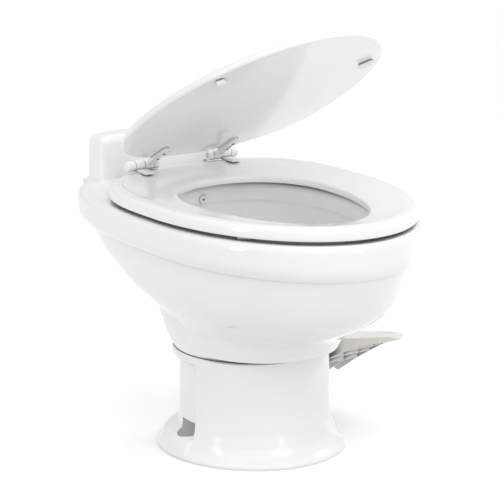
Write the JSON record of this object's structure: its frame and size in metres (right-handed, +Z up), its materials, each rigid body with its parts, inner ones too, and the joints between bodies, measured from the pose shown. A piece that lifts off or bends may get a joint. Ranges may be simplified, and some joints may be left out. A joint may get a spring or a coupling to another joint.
{
  "type": "rv toilet",
  "caption": "Low-profile gravity-flush toilet: china bowl on a moulded pedestal, oval seat and lid, and a foot pedal at the side that turns the flush ball.",
  "frame": {"origin": "on the floor, under the middle of the whole toilet's bounding box with the lid as it stands", "axes": "+Z up; -Y to the sitter's front, so +Y is the wall behind; +X to the sitter's left, the pedal's side"},
  "size_m": [0.376, 0.5653, 0.6039],
  "materials": {
    "arm_screw_left_1": "satin",
    "arm_screw_left_2": "satin",
    "arm_screw_right_1": "satin",
    "arm_screw_right_2": "satin",
    "ball_bush_left": "satin",
    "ball_bush_right": "satin",
    "ball_pinion": "satin",
    "ball_seal": "matte",
    "base_shell": "gloss",
    "bowl": "gloss",
    "clamp_band": "satin",
    "clamp_bolt": "satin",
    "floor_gasket": "matte",
    "flush_ball": "gloss",
    "hinge_bolt_left": "satin",
    "hinge_bolt_right": "satin",
    "hinge_cap_left": "gloss",
    "hinge_cap_right": "gloss",
    "hinge_pin_left": "satin",
    "hinge_pin_right": "satin",
    "hinge_post_left": "gloss",
    "hinge_post_right": "gloss",
    "hinge_washer_left": "matte",
    "hinge_washer_right": "matte",
    "lid_arm_left": "gloss",
    "lid_arm_right": "gloss",
    "lid_bumper_left": "satin",
    "lid_bumper_right": "satin",
    "lid_panel": "gloss",
    "outlet_seal": "matte",
    "pedal": "satin",
    "pedal_bush": "satin",
    "pedal_gear": "satin",
    "pedal_shaft": "satin",
    "return_spring": "satin",
    "rinse_nozzle": "gloss",
    "seat_bumper_back_left": "satin",
    "seat_bumper_back_right": "satin",
    "seat_bumper_front_left": "satin",
    "seat_bumper_front_right": "satin",
    "seat_leaf_left": "gloss",
    "seat_leaf_right": "gloss",
    "seat_ring": "gloss",
    "vacuum_breaker_body": "gloss",
    "vacuum_breaker_cap": "gloss",
    "vacuum_float": "satin",
    "valve_body": "satin",
    "valve_cam": "satin",
    "water_hose": "satin",
    "water_inlet": "satin",
    "water_plunger": "satin",
    "water_valve_body": "satin",
    "wing_nut_left": "gloss",
    "wing_nut_right": "gloss"
  },
  "bodies": {
    "bowl_and_base": {"ball_bush_left": "ball_bush_left", "ball_bush_right": "ball_bush_right", "ball_seal": "ball_seal", "base_shell": "base_shell", "bowl": "bowl", "clamp_band": "clamp_band", "clamp_bolt": "clamp_bolt", "floor_gasket": "floor_gasket", "hinge_bolt_left": "hinge_bolt_left", "hinge_bolt_right": "hinge_bolt_right", "hinge_post_left": "hinge_post_left", "hinge_post_right": "hinge_post_right", "hinge_washer_left": "hinge_washer_left", "hinge_washer_right": "hinge_washer_right", "outlet_seal": "outlet_seal", "pedal_bush": "pedal_bush", "return_spring": "return_spring", "rinse_nozzle": "rinse_nozzle", "vacuum_breaker_body": "vacuum_breaker_body", "vacuum_breaker_cap": "vacuum_breaker_cap", "valve_body": "valve_body", "water_hose": "water_hose", "water_inlet": "water_inlet", "water_valve_body": "water_valve_body", "wing_nut_left": "wing_nut_left", "wing_nut_right": "wing_nut_right"},
    "seat": {"seat_ring": "seat_ring", "seat_bumper_front_right": "seat_bumper_front_right", "seat_bumper_front_left": "seat_bumper_front_left", "seat_bumper_back_right": "seat_bumper_back_right", "seat_bumper_back_left": "seat_bumper_back_left", "seat_leaf_right": "seat_leaf_right", "seat_leaf_left": "seat_leaf_left", "hinge_pin_right": "hinge_pin_right", "hinge_pin_left": "hinge_pin_left", "hinge_cap_right": "hinge_cap_right", "hinge_cap_left": "hinge_cap_left"},
    "lid": {"lid_panel": "lid_panel", "lid_bumper_right": "lid_bumper_right", "lid_bumper_left": "lid_bumper_left", "lid_arm_right": "lid_arm_right", "lid_arm_left": "lid_arm_left", "arm_screw_right_1": "arm_screw_right_1", "arm_screw_right_2": "arm_screw_right_2", "arm_screw_left_1": "arm_screw_left_1", "arm_screw_left_2": "arm_screw_left_2"},
    "pedal": {"pedal": "pedal", "pedal_shaft": "pedal_shaft", "pedal_gear": "pedal_gear", "valve_cam": "valve_cam"},
    "ball": {"flush_ball": "flush_ball", "ball_pinion": "ball_pinion"},
    "plunger": {"water_plunger": "water_plunger"},
    "float": {"vacuum_float": "vacuum_float"}
  },
  "joints": [
    {"name": "seat_lift", "type": "hinge", "parent": "bowl_and_base", "child": "seat", "pos_m": [-0.004, 0.1743, 0.3735], "axis": [-1, 0, 0], "range_deg": [0, 38]},
    {"name": "lid_fold", "type": "hinge", "parent": "seat", "child": "lid", "pos_m": [-0.004, 0.1743, 0.3735], "axis": [1, 0, 0], "range_deg": [-64, 32.1]},
    {"name": "pedal_press", "type": "hinge", "parent": "bowl_and_base", "child": "pedal", "pos_m": [-0.004, 0.0563, 0.092], "axis": [1, 0, 0], "range_deg": [0, 20], "stiffness_Nm_per_rad": 6, "springref_deg": -28.65},
    {"name": "ball_turn", "type": "hinge", "parent": "bowl_and_base", "child": "ball", "pos_m": [-0.004, 0.0063, 0.092], "axis": [1, 0, 0], "range_deg": [-80, 0]},
    {"name": "plunger_push", "type": "slide", "parent": "bowl_and_base", "child": "plunger", "axis": [0, 0, -1], "range_m": [0, 0.0015]},
    {"name": "float_lift", "type": "slide", "parent": "bowl_and_base", "child": "float", "axis": [0, 0, 1], "range_m": [0, 0.004]}
  ],
  "couplings": [
    {"joint": "ball_turn", "follows": "pedal_press", "ratio": -4},
    {"joint": "plunger_push", "follows": "pedal_press", "m_per_rad": 0.00429}
  ]
}
